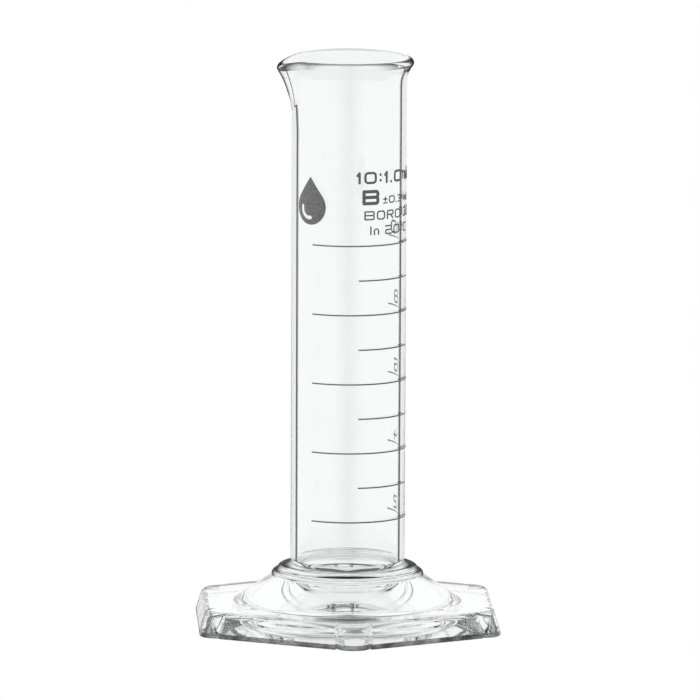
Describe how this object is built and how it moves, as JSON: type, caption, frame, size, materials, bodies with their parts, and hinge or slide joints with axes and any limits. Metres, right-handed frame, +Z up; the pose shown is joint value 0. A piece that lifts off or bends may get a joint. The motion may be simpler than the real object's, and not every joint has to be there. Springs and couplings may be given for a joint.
{
  "type": "graduated cylinder",
  "caption": "Small clear glass measuring cylinder with a pouring spout, a fused hexagonal foot and a fired grey scale.",
  "frame": {"origin": "on the barrel's axis, in the plane that the foot rests on", "axes": "+Z up along the barrel's axis; the pouring spout points to -X; two corners of the foot lie on the Y axis, and the printed scale faces between +X and -Y"},
  "size_m": [0.0456, 0.052, 0.0871],
  "materials": {
    "barrel_glass": "fire-polished drawn borosilicate tube",
    "seal_glass": "flame-worked borosilicate",
    "foot_glass": "pressed and fire-polished borosilicate, slightly uneven",
    "grey_enamel": "fired ceramic ink, semi-matt"
  },
  "bodies": {
    "root": {"barrel": "barrel_glass", "seal_ring": "seal_glass", "hexagonal_foot": "foot_glass", "graduation_line_02": "grey_enamel", "graduation_line_03": "grey_enamel", "graduation_line_04": "grey_enamel", "graduation_line_05": "grey_enamel", "graduation_line_06": "grey_enamel", "graduation_line_07": "grey_enamel", "graduation_line_08": "grey_enamel", "graduation_line_09": "grey_enamel", "graduation_line_10": "grey_enamel", "numeral_02": "grey_enamel", "numeral_04": "grey_enamel", "numeral_06": "grey_enamel", "numeral_08": "grey_enamel", "numeral_10": "grey_enamel", "inscription_capacity": "grey_enamel", "inscription_class": "grey_enamel", "inscription_tolerance": "grey_enamel", "inscription_glass": "grey_enamel", "inscription_temperature": "grey_enamel", "drop_mark": "grey_enamel"}
  },
  "joints": []
}
